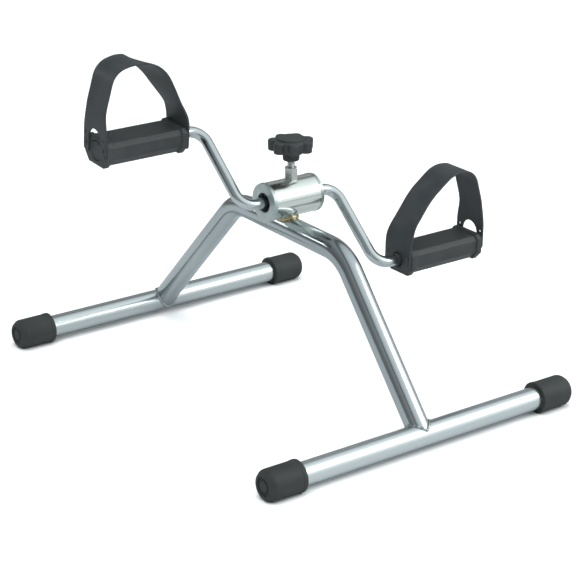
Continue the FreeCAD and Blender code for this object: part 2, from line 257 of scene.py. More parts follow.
def vary_colour(material, factor, low, high):
    """Colour runs from low to high with a texture's factor."""
    tree = material.node_tree
    ramp = tree.nodes.new("ShaderNodeValToRGB")
    ramp.color_ramp.elements[0].position = noise_low
    ramp.color_ramp.elements[1].position = noise_high
    ramp.color_ramp.elements[0].color = (*low, 1)
    ramp.color_ramp.elements[1].color = (*high, 1)
    tree.links.new(factor, ramp.inputs["Fac"])
    tree.links.new(ramp.outputs["Color"], tree.nodes["Principled BSDF"].inputs["Base Color"])


def vary_roughness(material, factor, low, high):
    """Roughness runs from low to high with a texture's factor."""
    tree = material.node_tree
    spread = tree.nodes.new("ShaderNodeMapRange")
    spread.inputs["From Min"].default_value = noise_low
    spread.inputs["From Max"].default_value = noise_high
    spread.inputs["To Min"].default_value = low
    spread.inputs["To Max"].default_value = high
    tree.links.new(factor, spread.inputs["Value"])
    shader = tree.nodes["Principled BSDF"]
    tree.links.new(spread.outputs["Result"], shader.inputs["Roughness"])


def add_bump(material, *layers):
    """Bump layers, each (height socket, strength, depth in metres), one on top of another."""
    tree = material.node_tree
    normal = None
    for height, strength, depth in layers:
        bump = tree.nodes.new("ShaderNodeBump")
        bump.inputs["Strength"].default_value = strength
        bump.inputs["Distance"].default_value = depth
        tree.links.new(height, bump.inputs["Height"])
        if normal:
            tree.links.new(normal, bump.inputs["Normal"])
        normal = bump.outputs["Normal"]
    tree.links.new(normal, tree.nodes["Principled BSDF"].inputs["Normal"])


def make_chrome(name, stretch, low, high, roughness):
    """Bright plating: faint haze, gentle waves and fine polishing lines along the tube."""
    material = new_material(name, high, 1.0, roughness)
    tree = material.node_tree
    haze = place_texture(tree, "ShaderNodeTexNoise", 14, stretch, Detail=4.0)
    lines = place_texture(tree, "ShaderNodeTexNoise", 900, stretch, Detail=2.0)
    waves = place_texture(tree, "ShaderNodeTexNoise", 60, stretch, Detail=1.0)
    vary_colour(material, haze.outputs["Fac"], low, high)
    vary_roughness(material, haze.outputs["Fac"], roughness - 0.05, roughness + 0.06)
    add_bump(material, (waves.outputs["Fac"], 0.35, 0.00025), (lines.outputs["Fac"], 0.12, 0.00001))
    return material


def make_moulded(name, low, high, roughness, grain_scale, grain_depth):
    """Moulded plastic, rubber or felt: fine grain, cloudy sheen and a dusty unevenness."""
    material = new_material(name, low, 0.0, roughness, Specular_IOR_Level=0.35)
    tree = material.node_tree
    cloud = place_texture(tree, "ShaderNodeTexNoise", 38, Detail=6.0)
    grain = place_texture(tree, "ShaderNodeTexVoronoi", grain_scale)
    dust = place_texture(tree, "ShaderNodeTexNoise", 700, Detail=3.0)
    vary_colour(material, cloud.outputs["Fac"], low, high)
    vary_roughness(material, cloud.outputs["Fac"], roughness - 0.07, roughness + 0.07)
    add_bump(material, (cloud.outputs["Fac"], 0.25, 0.0006),
             (grain.outputs["Distance"], 0.4, grain_depth), (dust.outputs["Fac"], 0.2, 0.00003))
    return material


def make_turned_steel(name, low, high, roughness):
    """Plain or plated steel with a cloudy bloom and fine tool marks."""
    material = new_material(name, low, 1.0, roughness)
    tree = material.node_tree
    bloom = place_texture(tree, "ShaderNodeTexNoise", 120, Detail=5.0)
    marks = place_texture(tree, "ShaderNodeTexNoise", 1400, (0.15, 1, 1), Detail=2.0)
    vary_colour(material, bloom.outputs["Fac"], low, high)
    vary_roughness(material, bloom.outputs["Fac"], roughness - 0.06, roughness + 0.08)
    add_bump(material, (marks.outputs["Fac"], 0.3, 0.00003))
    return material


# Chrome: texture stretch, darkest and lightest tone, roughness. All four are the same plating; the
# beam's darker tones are painted shade, the hub's lighter, warmer tones are a painted highlight,
# and the bars and rod sit between.
chrome_along_x = make_chrome(
    "chrome_along_x", (0.05, 1, 1), (0.56, 0.61, 0.615), (0.74, 0.79, 0.79), 0.24)
chrome_beam = make_chrome(
    "chrome_beam", (1, 0.3, 0.3), (0.42, 0.465, 0.48), (0.60, 0.65, 0.66), 0.2)
chrome_hub = make_chrome(
    "chrome_hub", (0.05, 1, 1), (0.70, 0.75, 0.71), (0.84, 0.88, 0.82), 0.17)
chrome_rod = make_chrome(
    "chrome_rod", (1, 0.4, 0.4), (0.50, 0.55, 0.56), (0.66, 0.71, 0.715), 0.2)

# Steel: darkest and lightest tone, roughness.
zinc = make_turned_steel("zinc_plated_steel", (0.46, 0.53, 0.52), (0.64, 0.70, 0.68), 0.4)
stud_steel = make_turned_steel("stud_steel", (0.5, 0.52, 0.5), (0.7, 0.71, 0.68), 0.24)
weld_steel = make_turned_steel("weld_metal", (0.36, 0.40, 0.41), (0.56, 0.60, 0.60), 0.3)
brass_weld = make_turned_steel("tinted_weld_metal", (0.3, 0.22, 0.12), (0.72, 0.62, 0.42), 0.24)

# Moulded: darkest and lightest tone, roughness, grain scale and grain depth.
cap_rubber = make_moulded(
    "cap_rubber", (0.020, 0.023, 0.022), (0.033, 0.037, 0.036), 0.6, 1500, 0.00005)
pedal_plastic = make_moulded(
    "pedal_plastic", (0.024, 0.027, 0.028), (0.038, 0.042, 0.043), 0.5, 2200, 0.00004)
strap_rubber = make_moulded(
    "strap_rubber", (0.024, 0.028, 0.030), (0.038, 0.043, 0.046), 0.5, 1900, 0.00004)
knob_plastic = make_moulded(
    "knob_plastic", (0.022, 0.025, 0.026), (0.033, 0.037, 0.038), 0.5, 2200, 0.00004)
bush_nylon = make_moulded(
    "bush_nylon", (0.012, 0.013, 0.014), (0.02, 0.021, 0.022), 0.4, 2500, 0.00002)
lining_felt = make_moulded(
    "friction_lining", (0.16, 0.1, 0.055), (0.26, 0.17, 0.1), 0.8, 1200, 0.0001)


# ---- frame --------------------------------------------------------------------------------------
def bar_hit(point, direction, y):
    """Where a line meets a foot bar's surface, coming from outside."""
    radius = tube_radius + surface_gap
    py, pz = point.y - y, point.z - bar_axis_z
    a = direction.y ** 2 + direction.z ** 2
    b = py * direction.y + pz * direction.z
    c = py ** 2 + pz ** 2 - radius ** 2
    root = math.sqrt(max(b * b - a * c, 0.0))
    return point + direction * ((-b - root) / a)


def make_foot_bar(end_name, y):
    """Straight tube across the floor, open at both ends under its caps."""
    low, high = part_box(end_name + "_foot_bar")
    half = (high.x - low.x) / 2
    rings = straight_tube(Vector((0, y, bar_axis_z)), half, tube_radius, tube_wall, 0.3 * mm, 24,
                          tube_segments)
    add_piece(end_name + "_foot_bar_tube", skin(bmesh.new(), rings, closed=True), "frame",
              chrome_along_x, [end_name + "_foot_bar"])


def make_foot_cap(end_name, side, y):
    """Rubber cap: bead at the mouth, plain wall, rounded nose, ring recess and centre boss."""
    node = "foot_cap_" + end_name + "_" + side_names[side]
    low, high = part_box(node)
    length = high.x - low.x
    rim = max(high.y - y, y - low.y)
    wall = rim - 0.5 * mm
    bore = tube_radius + surface_gap
    recess = length - 2.0 * mm
    outline = [(0, bore), (0, rim), (4.2 * mm, rim), (5.4 * mm, wall), (length - 5.5 * mm, wall),
               (length, 13.2 * mm), (length, 10.2 * mm), (recess, 9.6 * mm), (recess, 6.6 * mm),
               (length - 0.4 * mm, 5.9 * mm), (length - 0.2 * mm, 0)]
    radii = [r * mm for r in (1.0, 1.2, 0.8, 7.0, 3.0, 0.6, 0.4, 0.4, 0.6)]
    path = rounded_path([Vector((x, r, 0)) for x, r in outline], radii, math.radians(12))
    profile = [(p.x, max(p.y, 0)) for p in path]
    bore_end = length - 6 * mm
    profile += [(bore_end, 0), (bore_end, bore)]
    nose_x = high.x if side > 0 else -low.x
    mouth = Vector((side * nose_x, y, bar_axis_z)) - Vector((side * length, 0, 0))
    rings = turned(profile, mouth, Vector((side, 0, 0)), tube_segments)
    for ring in rings:
        for point in ring:
            point.z = max(point.z, 0)
    add_piece(node + "_rubber", skin(bmesh.new(), rings, closed=True), "frame", cap_rubber,
              [node])


def make_beam():
    """One bent tube; each end is coped to the surface of its bar. Returns the two cut edges."""
    foot_rear = Vector((0, bar_y, bar_axis_z))
    foot_front = Vector((0, -bar_y, bar_axis_z))
    path = rounded_path([foot_rear, beam_apex, beam_shoulder, foot_front], [beam_bend, beam_bend],
                        math.radians(2))
    outer = swept(path, tube_radius, tube_segments)
    inner = swept(path, tube_radius - tube_wall, tube_segments)
    for rings in (outer, inner):
        rings[0] = [bar_hit(p, (q - p).normalized(), bar_y) for p, q in zip(rings[1], rings[0])]
        rings[-1] = [bar_hit(p, (q - p).normalized(), -bar_y)
                     for p, q in zip(rings[-2], rings[-1])]
    add_piece("main_beam_tube", skin(bmesh.new(), outer + inner[::-1], closed=True), "frame",
              chrome_beam, ["main_beam"])
    return outer[0], outer[-1]


def bead(curve, radius):
    """A closed weld bead along a curve, with overlapping ripples and uneven width."""
    ripple = 0.3
    noise_scale = 260
    noise_place = Vector((3.0, 0, 0))
    rings = []
    for k, centre in enumerate(curve):
        tangent = (curve[(k + 1) % len(curve)] - curve[k - 1]).normalized()
        first, second = basis(tangent)
        wave = abs(math.sin(k * ripple))
        uneven = noise.noise(centre * noise_scale + noise_place)
        size = radius * (0.82 + 0.22 * wave + 0.16 * uneven)
        rings.append(ring_at(centre, first, second, size, bead_segments))
    return rings


def resampled(loop, spacing):
    """Evenly spaced points round a closed loop."""
    lengths = [(loop[(k + 1) % len(loop)] - p).length for k, p in enumerate(loop)]
    total = sum(lengths)
    count = round(total / spacing)
    points, k, walked = [], 0, 0.0
    for j in range(count):
        target = total * j / count
        while walked + lengths[k] < target:
            walked += lengths[k]
            k += 1
        share = (target - walked) / lengths[k]
        points.append(loop[k].lerp(loop[(k + 1) % len(loop)], share))
    return points


def make_hub_weld():
    """Lumpy bead that fills the gap between the hub and the beam's top, all round their contact."""
    low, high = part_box("hub_weld")
    radius = (high.x - low.x) / 2 - 1.0 * mm
    overlap = 0.9 * mm
    run = (beam_apex - beam_shoulder).normalized()
    hub_radius = (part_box("hub_shell")[1].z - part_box("hub_shell")[0].z) / 2
    rings = []
    for k, angle in enumerate(circle_angles(120)):
        outward = Vector((math.cos(angle), math.sin(angle), 0))
        at = Vector((hub_centre.x, hub_centre.y, 0)) + outward * radius
        axis_z = beam_shoulder.z + run.z / run.y * (at.y - beam_shoulder.y)
        beam_z = axis_z + math.sqrt(tube_radius ** 2 - at.x ** 2)
        hub_z = hub_centre.z - math.sqrt(hub_radius ** 2 - (at.y - hub_centre.y) ** 2)
        middle = Vector((at.x, at.y, (beam_z + hub_z) / 2))
        height = (hub_z - beam_z) / 2 + overlap
        lump = 1 + 0.18 * abs(math.sin(k * 0.42)) + 0.3 * noise.noise(at * 300)
        rings.append([middle + outward * (math.cos(a) * bead_radius * lump)
                      + Vector((0, 0, math.sin(a) * height)) for a in circle_angles(bead_segments)])
    add_piece("hub_weld_bead", skin(bmesh.new(), rings, closed=True), "frame", brass_weld,
              ["hub_weld"])


for end_name, y in (("front", -bar_y), ("rear", bar_y)):
    make_foot_bar(end_name, y)
    for side in (-1, 1):
        make_foot_cap(end_name, side, y)
rear_cope, front_cope = make_beam()
for end_name, cope in (("rear", rear_cope), ("front", front_cope)):
    rings = bead(resampled(cope, 0.5 * mm), bead_radius)
    add_piece(end_name + "_bar_weld_bead", skin(bmesh.new(), rings, closed=True), "frame",
              weld_steel, [end_name + "_bar_weld"])
make_hub_weld()


# ---- hub, nut, screw and knob -------------------------------------------------------------------
def make_hub():
    """Thick cross tube that the crank runs through."""
    low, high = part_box("hub_shell")
    radius = (high.z - low.z) / 2
    rings = straight_tube(hub_centre, high.x, radius, 3.0 * mm, 0.4 * mm, 12, 160)
    add_piece("hub_tube", skin(bmesh.new(), rings, closed=True), "frame", chrome_hub,
              ["hub_shell"])


def make_hub_disc(side):
    """Turned steel ring with chamfers, a spigot inside the hub and a shallow step on its face."""
    node = "hub_end_disc_" + side_names[side]
    low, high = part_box(node)
    radius = (high.z - low.z) / 2
    inner_x, outer_x = sorted((abs(low.x), abs(high.x)))
    hole = 11.0 * mm
    step_radius, step_depth = 12.6 * mm, 0.3 * mm
    spigot = 18.15 * mm
    shoulder = outer_x - 4.0 * mm
    chamfer = 1.1 * mm
    points = [(inner_x, hole), (inner_x, spigot), (shoulder, spigot), (shoulder, radius),
              (outer_x, radius), (outer_x, step_radius),
              (outer_x - step_depth, step_radius - step_depth), (outer_x - step_depth, hole)]
    profile = []
    for p in rounded_loop([Vector((x, r, 0)) for x, r in points], 0.14 * mm, 2):
        past = (p.x - (outer_x - chamfer)) + (p.y - (radius - chamfer)) - chamfer
        cut = max(0.0, past) / 2
        profile.append((p.x - cut, p.y - cut))
    rings = turned(profile, Vector((0, hub_centre.y, hub_centre.z)), Vector((side, 0, 0)), 128)
    add_piece(node + "_turned", skin(bmesh.new(), rings, closed=True), "frame", zinc,
              [node], sharp=25)


def make_nut():
    """Long hexagon nut with a chamfered top; its foot follows the hub's surface."""
    low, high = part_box("tension_nut")
    flat = (high.y - low.y) / 2
    hub_radius = (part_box("hub_shell")[1].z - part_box("hub_shell")[0].z) / 2

    def hexagon(angle, shrink=0.0):
        turn = math.radians(30)
        return (flat - shrink) / math.cos((angle + turn) % (2 * turn) - turn)

    def foot(radius, y):
        return hub_centre.z + math.sqrt(hub_radius ** 2 - y ** 2) - 0.2 * mm

    def below_top(drop, slope=0.0):
        """Heights a drop below the top, falling with a slope outside the flats."""
        return lambda radius, y: high.z - drop - max(0, radius - flat) * slope

    def ring(radius_of, z_of):
        points = []
        for a in circle_angles(144):
            r = radius_of(a)
            x, y = r * math.sin(a), r * math.cos(a)
            points.append(screw_centre + Vector((x, y, z_of(r, y))))
        return points

    levels = [ring(lambda a: screw_hole, foot), ring(hexagon, foot),
              ring(hexagon, below_top(0.25 * mm, 0.75)),
              ring(lambda a: hexagon(a, 0.3 * mm), below_top(0.05 * mm, 0.6)),
              ring(lambda a: flat * 0.93, below_top(0)),
              ring(lambda a: screw_hole + 0.5 * mm, below_top(0)),
              ring(lambda a: screw_hole, below_top(0.5 * mm))]
    add_piece("tension_nut_hexagon", skin(bmesh.new(), levels, closed=True), "frame", stud_steel,
              ["tension_nut"], sharp=22)


def make_screw():
    """M8 stud: cut thread from the nut up to the knob, turned-down tip."""
    low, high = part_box("tension_screw")
    up = Vector((0, 0, 1))
    pitch = 1.25 * mm
    crest, root = 4.0 * mm, 3.3 * mm
    tip, tip_length = 2.9 * mm, 2.1 * mm
    shank = 3.9 * mm
    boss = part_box("tension_knob")[0].z
    start = boss - 24 * mm
    segments, rows = 64, 10
    profile = [(low.z, 0), (low.z, 2.4 * mm), (low.z + 0.5 * mm, tip),
               (low.z + tip_length, tip), (low.z + tip_length, shank),
               (start - 0.5 * mm, crest)]
    rings = turned(profile, screw_centre, up, segments)
    first, second = basis(up)
    for row in range(round((boss + 1 * mm - start) / pitch * rows) + 1):
        z = start + pitch * row / rows
        ring = []
        for k, a in enumerate(circle_angles(segments)):
            phase = (row / rows - k / segments) % 1.0
            depth = min(1.0, max(0.0, 1.25 - abs(phase - 0.5) * 3.1))
            outward = first * math.cos(a) + second * math.sin(a)
            radius = crest - (crest - root) * depth
            ring.append(screw_centre + Vector((0, 0, z)) + outward * radius)
        rings.append(ring)
    rings += turned([(high.z, shank), (high.z, 0)], screw_centre, up, segments)
    add_piece("tension_screw_thread", skin(bmesh.new(), rings), "knob", stud_steel,
              ["tension_screw"], sharp=60)


def knob_radius_at(angle):
    """Outline of the lobed knob: lobes with rounded valleys between them."""
    lobes, first_lobe = 7, math.radians(37)
    reach, lobe, core = 19.3 * mm, 6.2 * mm, 19.6 * mm
    fill, fill_width = 0.35 * mm, 1.6 * mm
    spacing = 2 * math.pi / lobes
    turn = (angle - first_lobe + math.pi / lobes) % spacing - math.pi / lobes
    across = reach * math.sin(turn)
    radius = core
    if abs(across) < lobe:
        radius = max(radius, reach * math.cos(turn) + math.sqrt(lobe ** 2 - across ** 2))
    blend = max(0.0, 1 - abs(radius - (core + fill)) / fill_width)
    return radius + fill * blend * blend


def make_knob():
    """Lobed hand knob: rounded edges, a raised ring on top, a stepped cone below and a bore."""
    low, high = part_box("tension_knob")
    top, bottom = high.z, low.z
    lobes_from = top - 13.0 * mm
    seat = (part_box("knob_cover")[1].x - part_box("knob_cover")[0].x) / 2 + 0.1 * mm
    seat_depth = 1.1 * mm
    top_edge, low_edge = 2.2 * mm, 1.6 * mm
    angles = circle_angles(280)

    def ring(radius_of, z):
        return [screw_centre + Vector((math.cos(a), math.sin(a), 0)) * radius_of(a)
                + Vector((0, 0, z)) for a in angles]

    def lobed(inset, z):
        return ring(lambda a: knob_radius_at(a) - inset, z)

    def circle(radius, z):
        return ring(lambda a: radius, z)

    rings = [circle(screw_hole, top - 4 * mm), circle(0.4 * mm, top - 3.9 * mm),
             circle(0.4 * mm, top - seat_depth), circle(seat, top - seat_depth),
             circle(seat, top - 0.3 * mm), circle(seat + 0.35 * mm, top),
             circle(seat + 1.6 * mm, top), circle(seat + 2.0 * mm, top - 0.5 * mm)]
    quarter = [math.pi / 2 * k / 6 for k in range(7)]
    for a in quarter:
        rings.append(lobed(top_edge * (1 - math.sin(a)),
                           top - 0.6 * mm - top_edge * (1 - math.cos(a))))
    rings.append(lobed(0.15 * mm, (top + lobes_from) / 2))
    for a in quarter:
        rings.append(lobed(0.3 * mm + low_edge * (1 - math.cos(a)),
                           lobes_from + low_edge * (1 - math.sin(a))))
    rings += [circle(15.2 * mm, lobes_from), circle(14.6 * mm, lobes_from - 0.5 * mm),
              circle(12.6 * mm, lobes_from - 3.2 * mm), circle(12.0 * mm, lobes_from - 3.6 * mm),
              circle(9.4 * mm, lobes_from - 4.2 * mm), circle(9.1 * mm, bottom + 0.7 * mm),
              circle(8.4 * mm, bottom), circle(4.3 * mm, bottom),
              circle(screw_hole, bottom + 0.4 * mm)]
    add_piece("tension_knob_lobed", skin(bmesh.new(), rings, closed=True), "knob", knob_plastic,
              ["tension_knob"], sharp=30)


def make_knob_cover():
    """Domed disc pressed into the knob's top, with a shallow ring."""
    low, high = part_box("knob_cover")
    radius = (high.x - low.x) / 2
    base = low.z
    rise = high.z - base
    profile = [(base, 0), (base, radius - 0.2 * mm), (base + 0.3 * mm, radius),
               (base + rise * 0.55, radius), (base + rise * 0.7, radius - 0.25 * mm),
               (base + rise * 0.76, radius - 0.8 * mm)]
    for k in range(9):
        r = (radius - 1.4 * mm) * (1 - k / 8)
        profile.append((base + rise * (0.79 + 0.21 * (1 - (r / radius) ** 2)), r))
    rings = turned(profile, screw_centre, Vector((0, 0, 1)), 128)
    add_piece("knob_cover_disc", skin(bmesh.new(), rings), "knob", knob_plastic,
              ["knob_cover"])


make_hub()
for side in (-1, 1):
    make_hub_disc(side)
make_nut()
make_screw()
make_knob()
make_knob_cover()


# ---- crank --------------------------------------------------------------------------------------
def at_x(point, x):
    return Vector((x, point.y, point.z))


def make_crank():
    """One bent rod from pedal to pedal, with chamfered ends."""
    low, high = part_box("crank_rod")
    chamfer = 0.6 * mm
    left, right = pedal_axis[-1], pedal_axis[1]
    path = rounded_path([at_x(left, low.x), at_x(left, -arm_x), at_x(hub_centre, -arm_x),
                         at_x(hub_centre, arm_x), at_x(right, arm_x), at_x(right, high.x)],
                        [rod_bend] * 4, math.radians(3))
    rod = swept(path, rod_radius, rod_segments)
    tips = swept(path, rod_radius - chamfer, rod_segments)
    inward = Vector((chamfer, 0, 0))
    rings = [tips[0], [p + inward for p in rod[0]], *rod[1:-1], [p - inward for p in rod[-1]],
             tips[-1]]
    add_piece("crank_rod_bent", skin(bmesh.new(), rings, caps=True), "crank", chrome_rod,
              ["crank_rod"])


def make_spacer(side):
    """Short sleeve on the spindle, between the crank's bend and the pedal."""
    node = "pedal_spacer_" + side_names[side]
    low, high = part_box(node)
    radius = (high.z - low.z) / 2
    bore = rod_radius + 0.03 * mm
    inner_x, outer_x = sorted((abs(low.x), abs(high.x)))
    points = [(inner_x, bore), (inner_x, radius), (outer_x, radius), (outer_x, bore)]
    loop = rounded_loop([Vector((x, r, 0)) for x, r in points], 0.3 * mm, 3)
    rings = turned([(p.x, p.y) for p in loop], at_x(pedal_axis[side], 0), Vector((side, 0, 0)),
                   rod_segments)
    add_piece(node + "_sleeve", skin(bmesh.new(), rings, closed=True), "crank", pedal_plastic,
              [node])


make_crank()
for side in (-1, 1):
    make_spacer(side)


# ---- pedals -------------------------------------------------------------------------------------
def pedal_point(side, outward, u, w):
    """A point by its distance from the pedal's inner face, behind the spindle and above it."""
    c, s = math.cos(pedal_tilt[side]), math.sin(pedal_tilt[side])
    axis = pedal_axis[side]
    return Vector((side * (pedal_x + outward), axis.y + u * c - w * s, axis.z + u * s + w * c))


def section(inset, radius):
    """End view of the pedal, (u, w), with its corners rounded."""
    d = pedal_half_depth - inset
    top, bottom = pedal_top - inset, pedal_bottom + inset
    corners = [(-d + 4 * mm, top), (d - 4 * mm, top), (d, top - 5 * mm), (d, bottom + 9 * mm),
               (d - 8 * mm, bottom), (-d + 8 * mm, bottom), (-d, bottom + 9 * mm),
               (-d, top - 5 * mm)]
    return rounded_loop([Vector((u, w, 0)) for u, w in corners], radius, 4)


def make_pedal_body(side):
    """Moulded tread between two end plates, with a bore for the bushes and an outer recess."""
    node = "pedal_body_" + side_names[side]
    body = side_names[side] + "_pedal"

    def ring(outward, inset):
        return [pedal_point(side, outward, p.x, p.y) for p in section(inset, 1.2 * mm)]

    def hole(outward, radius):
        return [pedal_point(side, outward, *(Vector((p.x, p.y)).normalized() * radius))
                for p in section(0, 1 * mm)]

    bore, recess, depth = 10.02 * mm, 12.0 * mm, 10.0 * mm
    plate, step = 7.0 * mm, 1.6 * mm
    length = pedal_length
    tread_from, tread_run = plate + 0.6 * mm, length - 2 * plate - 1.2 * mm
    rings = [hole(0, bore + 0.4 * mm), ring(0, 0.8 * mm), ring(0.25 * mm, 0.3 * mm),
             ring(0.8 * mm, 0), ring(plate - 0.6 * mm, 0), ring(plate - 0.1 * mm, 0.3 * mm),
             ring(plate, 0.8 * mm), ring(plate + 0.1 * mm, step - 0.3 * mm),
             ring(tread_from, step)]
    rings += [ring(tread_from + tread_run * k / 20, step) for k in range(1, 21)]
    rings += [ring(length - plate - 0.1 * mm, step - 0.3 * mm), ring(length - plate, 0.8 * mm),
              ring(length - plate + 0.1 * mm, 0.3 * mm), ring(length - plate + 0.6 * mm, 0),
              ring(length - 0.8 * mm, 0), ring(length - 0.25 * mm, 0.3 * mm),
              ring(length, 0.8 * mm), hole(length, recess + 0.5 * mm),
              hole(length - 0.5 * mm, recess), hole(length - depth, recess),
              hole(length - depth, bore), hole(0.4 * mm, bore)]
    add_piece(node + "_moulding", skin(bmesh.new(), rings, closed=True), body, pedal_plastic,
              [node], sharp=40)


def make_end_cap(side):
    """Cap pressed into the pedal's outer recess, slightly dished."""
    node = "pedal_end_cap_" + side_names[side]
    low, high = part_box(node)
    radius = (high.z - low.z) / 2
    inner_x, outer_x = sorted((abs(low.x), abs(high.x)))
    edge = 0.5 * mm
    profile = [(inner_x, 0), (inner_x, radius - 0.2 * mm), (inner_x + 0.2 * mm, radius),
               (outer_x - edge, radius), (outer_x, radius - edge), (outer_x, radius - 1.6 * mm),
               (outer_x - edge, radius - 2.1 * mm), (outer_x - 0.6 * mm, 3 * mm),
               (outer_x - 0.7 * mm, 0)]
    rings = turned(profile, at_x(pedal_axis[side], 0), Vector((side, 0, 0)), 96)
    add_piece(node + "_disc", skin(bmesh.new(), rings), side_names[side] + "_pedal",
              pedal_plastic, [node])


def make_buttons(side):
    """Four push-in buttons with low domed heads."""
    node = "strap_buttons_" + side_names[side]
    stem = 1.45 * mm
    profile = [(-4.5 * mm, 0), (-4.5 * mm, 1.2 * mm), (-4.2 * mm, stem), (2.5 * mm, stem),
               (2.6 * mm, 2.3 * mm), (3.0 * mm, 2.4 * mm), (3.5 * mm, 2.1 * mm),
               (3.85 * mm, 1.4 * mm), (4.0 * mm, 0)]
    bm = bmesh.new()
    for face, outward in ((0.0, -1), (pedal_length, 1)):
        for u in (-button_spread, button_spread):
            origin = pedal_point(side, face, u, button_rise)
            skin(bm, turned(profile, origin, Vector((side * outward, 0, 0)), 32))
    add_piece(node + "_domed", bm, side_names[side] + "_pedal", pedal_plastic,
              [node])


def strap_path(side):
    """Points along the strap's middle line, and the running length at each."""
    line = [Vector((x, w, 0)) * mm for x, w in strap_line[side]]
    path = rounded_path(line, [r * mm for r in strap_radii[side]], math.radians(1.5))
    lengths = [0.0]
    for a, b in zip(path, path[1:]):
        lengths.append(lengths[-1] + (b - a).length)
    return path, lengths


def strap_at(path, lengths, s, offset):
    """(outward, w) at a running length, offset across the thickness."""
    s = min(max(s, 0.0), lengths[-1])
    last = len(path) - 1
    k = 0
    while k < last - 1 and lengths[k + 1] < s:
        k += 1
    share = (s - lengths[k]) / max(lengths[k + 1] - lengths[k], 1e-9)
    point = path[k].lerp(path[k + 1], share)
    before = (path[k + 1] - path[k]).normalized()
    after = (path[k + 2] - path[k + 1]).normalized() if k + 2 <= last else before
    tangent = before.lerp(after, share).normalized()
    return point + Vector((-tangent.y, tangent.x, 0)) * offset


def make_strap(side):
    """Flat pattern of the strap with its eye, arch and holes, bent round its middle line."""
    node = "pedal_strap_" + side_names[side]
    path, lengths = strap_path(side)
    total = lengths[-1]
    eye_s, eye_radius = 11 * mm, 8.2 * mm
    arch_s, arch_radius = total - 16.5 * mm, 12.0 * mm
    hole_s, hole_radius = total - 20.5 * mm, 1.6 * mm
    taper_from, taper_to = 33 * mm, 58 * mm
    corner = 4 * mm
    twist_from, twist_run, twist_rise = 3 * mm, 63 * mm, 4.8 * mm
    grid, margin, hole_margin = 3 * mm, 1.2 * mm, 0.8 * mm

    def half_width(s):
        from_end = min(s, total - s + 7 * mm)
        share = min(max((from_end - taper_from) / (taper_to - taper_from), 0), 1)
        smooth = share * share * (3 - 2 * share)
        width = strap_half_width + (strap_waist - strap_half_width) * smooth
        near = min(s, total - s)
        if near < corner:
            width -= corner - math.sqrt(corner ** 2 - (corner - near) ** 2)
        return width

    def circle(s, u, radius, count):
        return [(s + radius * math.cos(a), radius * math.sin(a) + u) for a in circle_angles(count)]

    def cut_away(s, u, around=0.0, around_hole=0.0):
        """True in the eye, the arch or a button hole, or close around one."""
        arch_reach = arch_radius + around
        return math.hypot(s - eye_s, u) < eye_radius + around \
            or math.hypot(s - arch_s, u) < arch_reach or s > arch_s and abs(u) < arch_reach \
            or math.hypot(s - hole_s, abs(u) - button_spread) < hole_radius + around_hole

    def twist(s, u):
        """The left strap's inner run is twisted: front edge proud, rear edge drawn in."""
        share = (strap_at(path, lengths, s, 0).x - twist_from) / twist_run
        if side > 0 or not 0 < share < 1 or s > total / 2:
            return 0.0
        return -u / strap_waist * twist_rise * math.sin(math.pi * share) ** 1.3

    # Stations along the strap lie closer together at its rounded ends.
    near_end = [0.0, 0.3 * mm, 1 * mm, 2 * mm, 3 * mm]
    along = [total * k / 130 for k in range(131)]
    inner = [s for s in along if corner < s < total - corner]
    stations = near_end + inner + [total - s for s in reversed(near_end)]
    upper = [(s, half_width(s)) for s in stations]
    arch = [(arch_s + arch_radius * math.cos(a), arch_radius * math.sin(a))
            for a in (math.pi / 2 + math.pi * k / 24 for k in range(25))]
    outline = [(s, -h) for s, h in upper] + [(total, -arch_radius)] + arch[::-1] \
        + [(total, arch_radius)] + [(s, h) for s, h in reversed(upper)]
    holes = [circle(eye_s, 0, eye_radius, 48)]
    holes += [circle(hole_s, u, hole_radius, 16) for u in (-button_spread, button_spread)]
    points, edges = [], []
    for loop in [outline] + holes:
        base = len(points)
        points += [Vector(p) for p in loop]
        edges += [(base + k, base + (k + 1) % len(loop)) for k in range(len(loop))]

    for s in inner:
        for k in range(-6, 7):
            u = k * grid
            if abs(u) <= half_width(s) - margin and not cut_away(s, u, margin, hole_margin):
                points.append(Vector((s, u)))

    scale = 1000
    made = geometry.delaunay_2d_cdt([p * scale for p in points], edges, [], 1, 1e-4)
    flat = [(p.x / scale, p.y / scale) for p in made[0]]
    bm = bmesh.new()
    layers = []
    for offset in (-strap_thick / 2, strap_thick / 2):
        layer = []
        for s, u in flat:
            bent = strap_at(path, lengths, s, offset + twist(s, u))
            layer.append(bm.verts.new(pedal_point(side, bent.x, u, bent.y)))
        layers.append(layer)
    under, over = layers
    # An edge that only one face uses is on the rim; a dictionary keeps the edges in order.
    rim = {}
    for face in made[2]:
        middle = sum((Vector(made[0][k]) for k in face), Vector((0, 0))) / len(face) / scale
        outside = abs(middle.y) > half_width(middle.x) + 0.01 * mm
        if outside or cut_away(middle.x, middle.y):
            continue
        bm.faces.new([under[k] for k in face])
        bm.faces.new([over[k] for k in reversed(face)])
        for a, b in zip(face, list(face[1:]) + [face[0]]):
            if (b, a) in rim:
                del rim[(b, a)]
            else:
                rim[(a, b)] = True
    for a, b in rim:
        bm.faces.new((under[b], under[a], over[a], over[b]))
    loose = [v for v in bm.verts if not v.link_faces]
    bmesh.ops.delete(bm, geom=loose, context="VERTS")
    add_piece(node + "_band", bm, side_names[side] + "_pedal", strap_rubber,
              [node], sharp=40, bevel=0.55 * mm)


for side in (-1, 1):
    make_pedal_body(side)
    make_end_cap(side)
    make_buttons(side)
    make_strap(side)


# ---- materials of the inner pieces that stay as CAD nodes ---------------------------------------
inner_materials = {"hub_bush": bush_nylon, "pedal_bush": bush_nylon, "friction_sleeve": bush_nylon,
                   "brake_lining": lining_felt, "brake_shoe": stud_steel, "pedal_washer": zinc,
                   "pedal_push_nut": zinc}
for node_name, node in frame["nodes"].items():
    for start, material in inner_materials.items():
        if node_name.startswith(start):
            node.data.materials.clear()
            node.data.materials.append(material)


